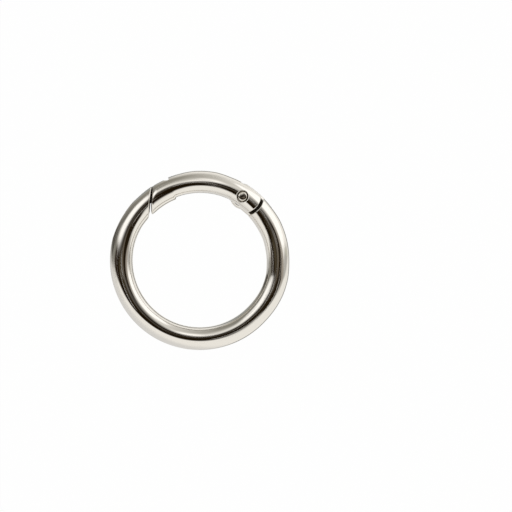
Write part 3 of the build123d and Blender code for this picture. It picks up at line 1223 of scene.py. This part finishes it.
gate = cut(gate, fork_slot, latch_slot, relief, spring_channel, *recesses)
exact_corners = true_normals(gate)
dressed(gate, outer=gate_outer, inner=gate_inner)
hinge_place = Matrix.Translation((hinge_x, hinge_y, 0))
closed = hinge_place @ Matrix.Rotation(droop, 4, "Z") @ hinge_place.inverted()
gate.data.transform(closed)
gate.data.materials.clear()
gate.data.materials.append(plate)
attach(gate, "gate")
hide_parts("gate")
print("gate:", len(gate.data.polygons), "faces,", exact_corners, "corners with exact normals")

# %% [markdown]
# ## The rivet
#
# The gate swings on a steel rivet whose two ends are pressed into round-edged heads, a touch
# below the surface of the wire. A head looks flat but is crowned by a few hundredths of a
# millimetre, and that is enough to mirror a wide piece of the tent. The rivet is turned about its
# own axis from stations, as the bar was.

# %% Rivet
head_radius = 0.95 * mm
head_rim = 0.43 * mm
head_crown = 0.03 * mm
head_top = crest - 0.10 * mm
shank_radius = 0.75 * mm
flat_radius = head_radius - head_rim
crown_rows, head_rim_rows, rivet_sides = 6, 8, 64


def rivet_stations():
    """From the top of the head, over its rim, down to the shank."""
    crowned = []
    for k in range(1, crown_rows + 1):
        crowned.append((head_top - head_crown * (k / crown_rows) ** 2, flat_radius * k / crown_rows))
    quarter = [pi / 2 * k / head_rim_rows for k in range(1, head_rim_rows + 1)]
    edge = head_top - head_crown - head_rim
    rim = [(edge + head_rim * cos(a), flat_radius + head_rim * sin(a)) for a in quarter]
    return crowned + rim + [(recess_floor, head_radius), (recess_floor, shank_radius)]


upper = rivet_stations()
stations = [(-height, r) for height, r in upper] + upper[::-1]
points, faces = spun(stations, rivet_sides)
upright = [(hinge_x + y, hinge_y + z, x) for x, y, z in points]
rivet = new_object("rivet_pressed", upright, faces)
rivet.data.set_sharp_from_angle(angle=radians(40))
rivet.data.materials.append(plate_on_steel)
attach(rivet, "gate")
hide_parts("hinge_rivet")
print("rivet:", len(rivet.data.polygons), "faces")

# %% [markdown]
# ## The coil spring
#
# A wound spring repeats one turn along a path, which is what Geometry Nodes are best at. A line of
# points is moved onto the coil by their index alone: the index gives the turn, the turn gives the
# angle round the wire's own circle and the place along the channel, with the first and last turn
# wound close. A round profile then follows the line.

# %% The winding tree
coil_inputs = ["Channel Radius", "Coil Radius", "First Angle", "Closed Pitch", "Open Pitch"]
coil_inputs += ["Turns", "Closed Turns", "Steps", "Wire Radius"]
wire_facets = 14


def winding_tree():
    """Geometry Nodes that wind a coil along an arc about the ring's axis."""
    tree, given = shape_tree("wind_along_the_channel", coil_inputs)
    index = add_node(tree, "GeometryNodeInputIndex")
    turn = add_node(tree, "ShaderNodeMath", {0: index, 1: given["Steps"]}, operation="DIVIDE")
    last_begins = add_node(tree, "ShaderNodeMath", {
        0: given["Turns"],
        1: given["Closed Turns"],
    }, operation="SUBTRACT")
    late = add_node(tree, "ShaderNodeMath", {0: turn, 1: last_begins}, operation="SUBTRACT")
    in_first = add_node(tree, "ShaderNodeMath", {0: turn, 1: given["Closed Turns"]}, operation="MINIMUM")
    in_last = add_node(tree, "ShaderNodeMath", {0: late, 1: 0}, operation="MAXIMUM")
    close = add_node(tree, "ShaderNodeMath", {0: in_first, 1: in_last}, operation="ADD")
    opened = add_node(tree, "ShaderNodeMath", {0: turn, 1: close}, operation="SUBTRACT")
    closely_wound = add_node(tree, "ShaderNodeMath", {
        0: close,
        1: given["Closed Pitch"],
        2: given["First Angle"],
    }, operation="MULTIPLY_ADD")
    angle = add_node(tree, "ShaderNodeMath", {
        0: opened,
        1: given["Open Pitch"],
        2: closely_wound,
    }, operation="MULTIPLY_ADD")
    wound = add_node(tree, "ShaderNodeMath", {0: turn, 1: 2 * pi}, operation="MULTIPLY")
    outward = add_node(tree, "ShaderNodeMath", {0: wound}, operation="COSINE")
    upward = add_node(tree, "ShaderNodeMath", {0: wound}, operation="SINE")
    radius = add_node(tree, "ShaderNodeMath", {
        0: outward,
        1: given["Coil Radius"],
        2: given["Channel Radius"],
    }, operation="MULTIPLY_ADD")
    cosine = add_node(tree, "ShaderNodeMath", {0: angle}, operation="COSINE")
    sine = add_node(tree, "ShaderNodeMath", {0: angle}, operation="SINE")
    place = add_node(tree, "ShaderNodeCombineXYZ", {
        "X": add_node(tree, "ShaderNodeMath", {0: radius, 1: cosine}, operation="MULTIPLY"),
        "Y": add_node(tree, "ShaderNodeMath", {0: radius, 1: sine}, operation="MULTIPLY"),
        "Z": add_node(tree, "ShaderNodeMath", {0: upward, 1: given["Coil Radius"]}, operation="MULTIPLY"),
    })
    count = add_node(tree, "ShaderNodeMath", {
        0: given["Turns"],
        1: given["Steps"],
        2: 1,
    }, operation="MULTIPLY_ADD")
    line = add_node(tree, "GeometryNodeCurvePrimitiveLine")
    spaced = add_node(tree, "GeometryNodeResampleCurve", {"Curve": line, "Count": count})
    coil = add_node(tree, "GeometryNodeSetPosition", {"Geometry": spaced, "Position": place})
    section = add_node(tree, "GeometryNodeCurvePrimitiveCircle", {
        "Resolution": wire_facets,
        "Radius": given["Wire Radius"],
    })
    wire = add_node(tree, "GeometryNodeCurveToMesh", {
        "Curve": coil,
        "Profile Curve": section,
        "Fill Caps": True,
    })
    return finished(tree, wire, given)


wind = winding_tree()
print("winding tree:", len(wind.nodes), "nodes")

# %% [markdown]
# ## Winding the spring
#
# The spring sits between the knuckle's flat and the channel's blind end, a hair's breadth from
# each. Real coils move closer as the gate opens.

# %% Coil spring
turns, closed_turns, steps_per_turn = 10, 1, 40
spring_wire_radius = 0.15 * mm
coil_radius = 0.65 * mm
seat_gap = 0.03 * mm
seat = (spring_wire_radius + seat_gap) / channel_radius
closed_pitch = 0.34 * mm / channel_radius
first_angle, last_angle = knuckle_flat + seat, channel_end - seat
open_pitch = (last_angle - first_angle - 2 * closed_turns * closed_pitch) / (turns - 2 * closed_turns)
blank = new_object("coil_blank", [(0, 0, 0)], [])
with_nodes(blank, wind, channel_radius=channel_radius, coil_radius=coil_radius, first_angle=first_angle,
           closed_pitch=closed_pitch, open_pitch=open_pitch, turns=turns, closed_turns=closed_turns,
           steps=steps_per_turn, wire_radius=spring_wire_radius, material=drawn_wire)
spring = baked(blank, "coil_spring")
spring.data.transform(closed)
spring.data.shade_smooth()
spring.data.set_sharp_from_angle(angle=radians(50))
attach(spring, "gate")
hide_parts("gate_spring")
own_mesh(spring)
print("coil spring:", len(spring.data.polygons), "faces")
